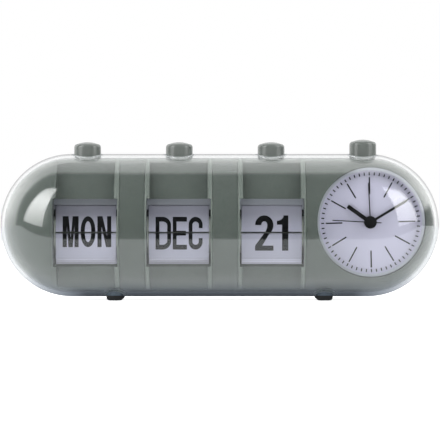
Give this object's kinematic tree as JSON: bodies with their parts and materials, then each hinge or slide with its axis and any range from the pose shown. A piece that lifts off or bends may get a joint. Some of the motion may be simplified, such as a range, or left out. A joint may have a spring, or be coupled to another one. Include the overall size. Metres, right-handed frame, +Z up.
{
  "type": "desk clock with calendar",
  "caption": "Lying capsule desk clock under a clear cover, with flip-card weekday, month and date windows, a round alarm dial, push buttons on top and small feet.",
  "frame": {"origin": "middle of the footprint on the table, below the middle of the capsule", "axes": "+X along the capsule to the right as seen from the front, towards the dial; +Y to the back, away from the reader; +Z up"},
  "size_m": [0.246, 0.08, 0.0899],
  "materials": {
    "clear_plastic": "clear, polished",
    "green_plastic": "satin",
    "light_plastic": "moulded, plain",
    "acetal": "moulded, slightly glossy",
    "card": "printed white card",
    "dial": "printed, matt",
    "ring": "satin",
    "black_hands": "satin black",
    "dark_plastic": "moulded, fine grain",
    "stop_plastic": "moulded, black finger tips",
    "foot_rubber": "matt black",
    "steel": "bright",
    "spring_steel": "bright wire",
    "board": "lacquered",
    "cell": "gloss sleeve",
    "lead_sheath": "soft, plain"
  },
  "bodies": {
    "case": {"clear_cover": "clear_plastic", "front_housing": "green_plastic", "rear_case": "green_plastic", "feet": "foot_rubber", "case_screws": "steel", "weekday_cassette": "green_plastic", "weekday_card_stop": "stop_plastic", "weekday_axle": "steel", "weekday_button_spring": "spring_steel", "month_cassette": "green_plastic", "month_card_stop": "stop_plastic", "month_axle": "steel", "month_button_spring": "spring_steel", "date_cassette": "green_plastic", "date_card_stop": "stop_plastic", "date_axle": "steel", "date_button_spring": "spring_steel", "alarm_button_spring": "spring_steel", "alarm_switch": "dark_plastic", "dial_plate": "dial", "dial_bezel": "ring", "movement_case": "dark_plastic", "circuit_board": "board", "buzzer": "dark_plastic", "battery_cell": "cell", "positive_contact": "steel", "negative_contact": "spring_steel", "battery_leads": "lead_sheath"},
    "weekday_press": {"weekday_button": "green_plastic", "weekday_push_rod": "acetal"},
    "weekday_roll": {"weekday_drum": "light_plastic", "weekday_ratchet_wheel": "acetal", "weekday_leaf_pack": "card"},
    "weekday_falling_leaf": {"weekday_front_leaf": "card"},
    "month_press": {"month_button": "green_plastic", "month_push_rod": "acetal"},
    "month_roll": {"month_drum": "light_plastic", "month_ratchet_wheel": "acetal", "month_leaf_pack": "card"},
    "month_falling_leaf": {"month_front_leaf": "card"},
    "date_press": {"date_button": "green_plastic", "date_push_rod": "acetal"},
    "date_roll": {"date_drum": "light_plastic", "date_ratchet_wheel": "acetal", "date_leaf_pack": "card"},
    "date_falling_leaf": {"date_front_leaf": "card"},
    "alarm_press": {"alarm_button": "green_plastic", "alarm_push_rod": "acetal", "switch_plunger": "acetal"},
    "alarm_pointer": {"alarm_hand": "black_hands"},
    "hour_pointer": {"hour_hand": "black_hands"},
    "minute_pointer": {"minute_hand": "black_hands"},
    "second_pointer": {"second_hand": "black_hands"},
    "time_knob": {"time_set_knob": "dark_plastic"},
    "alarm_knob": {"alarm_set_knob": "dark_plastic"},
    "back_door": {"battery_door": "green_plastic"}
  },
  "joints": [
    {"name": "weekday_button_press", "type": "slide", "parent": "case", "child": "weekday_press", "axis": [0, 0, -1], "range_m": [0, 0.0026], "stiffness_N_per_m": 400, "springref_m": -0.004, "deforming": ["weekday_button_spring"]},
    {"name": "weekday_roll_step", "type": "hinge", "parent": "case", "child": "weekday_roll", "pos_m": [-0.074, -0.013, 0.038], "axis": [1, 0, 0], "range_deg": [0, 25.72]},
    {"name": "weekday_leaf_fall", "type": "hinge", "parent": "weekday_roll", "child": "weekday_falling_leaf", "pos_m": [-0.074, -0.02177, 0.04], "axis": [1, 0, 0], "range_deg": [0, 154.29]},
    {"name": "month_button_press", "type": "slide", "parent": "case", "child": "month_press", "axis": [0, 0, -1], "range_m": [0, 0.0026], "stiffness_N_per_m": 400, "springref_m": -0.004, "deforming": ["month_button_spring"]},
    {"name": "month_roll_step", "type": "hinge", "parent": "case", "child": "month_roll", "pos_m": [-0.0226, -0.013, 0.038], "axis": [1, 0, 0], "range_deg": [0, 30]},
    {"name": "month_leaf_fall", "type": "hinge", "parent": "month_roll", "child": "month_falling_leaf", "pos_m": [-0.0226, -0.02169, 0.04033], "axis": [1, 0, 0], "range_deg": [0, 150]},
    {"name": "date_button_press", "type": "slide", "parent": "case", "child": "date_press", "axis": [0, 0, -1], "range_m": [0, 0.0026], "stiffness_N_per_m": 400, "springref_m": -0.004, "deforming": ["date_button_spring"]},
    {"name": "date_roll_step", "type": "hinge", "parent": "case", "child": "date_roll", "pos_m": [0.0288, -0.013, 0.038], "axis": [1, 0, 0], "range_deg": [0, 11.62]},
    {"name": "date_leaf_fall", "type": "hinge", "parent": "date_roll", "child": "date_falling_leaf", "pos_m": [0.0288, -0.02195, 0.03891], "axis": [1, 0, 0], "range_deg": [0, 168.39]},
    {"name": "alarm_button_press", "type": "slide", "parent": "case", "child": "alarm_press", "axis": [0, 0, -1], "range_m": [0, 0.0026], "stiffness_N_per_m": 400, "springref_m": -0.004, "deforming": ["alarm_button_spring"]},
    {"name": "minute_hand_turn", "type": "hinge", "parent": "case", "child": "minute_pointer", "pos_m": [0.0835, -0.02, 0.0436], "axis": [0, 1, 0], "continuous": true},
    {"name": "hour_hand_turn", "type": "hinge", "parent": "case", "child": "hour_pointer", "pos_m": [0.0835, -0.02, 0.0436], "axis": [0, 1, 0], "continuous": true},
    {"name": "second_hand_turn", "type": "hinge", "parent": "case", "child": "second_pointer", "pos_m": [0.0835, -0.02, 0.0436], "axis": [0, 1, 0], "continuous": true},
    {"name": "time_knob_turn", "type": "hinge", "parent": "case", "child": "time_knob", "pos_m": [0.0935, 0.0264, 0.042], "axis": [0, 1, 0], "continuous": true},
    {"name": "alarm_hand_turn", "type": "hinge", "parent": "case", "child": "alarm_pointer", "pos_m": [0.0835, -0.02, 0.0436], "axis": [0, 1, 0], "continuous": true},
    {"name": "alarm_knob_turn", "type": "hinge", "parent": "case", "child": "alarm_knob", "pos_m": [0.0735, 0.0264, 0.042], "axis": [0, 1, 0], "continuous": true},
    {"name": "battery_door_tilt", "type": "hinge", "parent": "case", "child": "back_door", "pos_m": [0, 0.03872, 0.03195], "axis": [-1, 0, 0], "range_deg": [0, 35]}
  ],
  "couplings": [
    {"joint": "weekday_roll_step", "follows": "weekday_button_press", "rad_per_m": 172.62},
    {"joint": "weekday_leaf_fall", "follows": "weekday_button_press", "rad_per_m": 1035.7},
    {"joint": "month_roll_step", "follows": "month_button_press", "rad_per_m": 201.38},
    {"joint": "month_leaf_fall", "follows": "month_button_press", "rad_per_m": 1006.9},
    {"joint": "date_roll_step", "follows": "date_button_press", "rad_per_m": 77.955},
    {"joint": "date_leaf_fall", "follows": "date_button_press", "rad_per_m": 1130.3},
    {"joint": "hour_hand_turn", "follows": "minute_hand_turn", "ratio": 0.083333},
    {"joint": "second_hand_turn", "follows": "minute_hand_turn", "ratio": 60},
    {"joint": "time_knob_turn", "follows": "minute_hand_turn", "ratio": -2},
    {"joint": "alarm_knob_turn", "follows": "alarm_hand_turn", "ratio": -2}
  ]
}
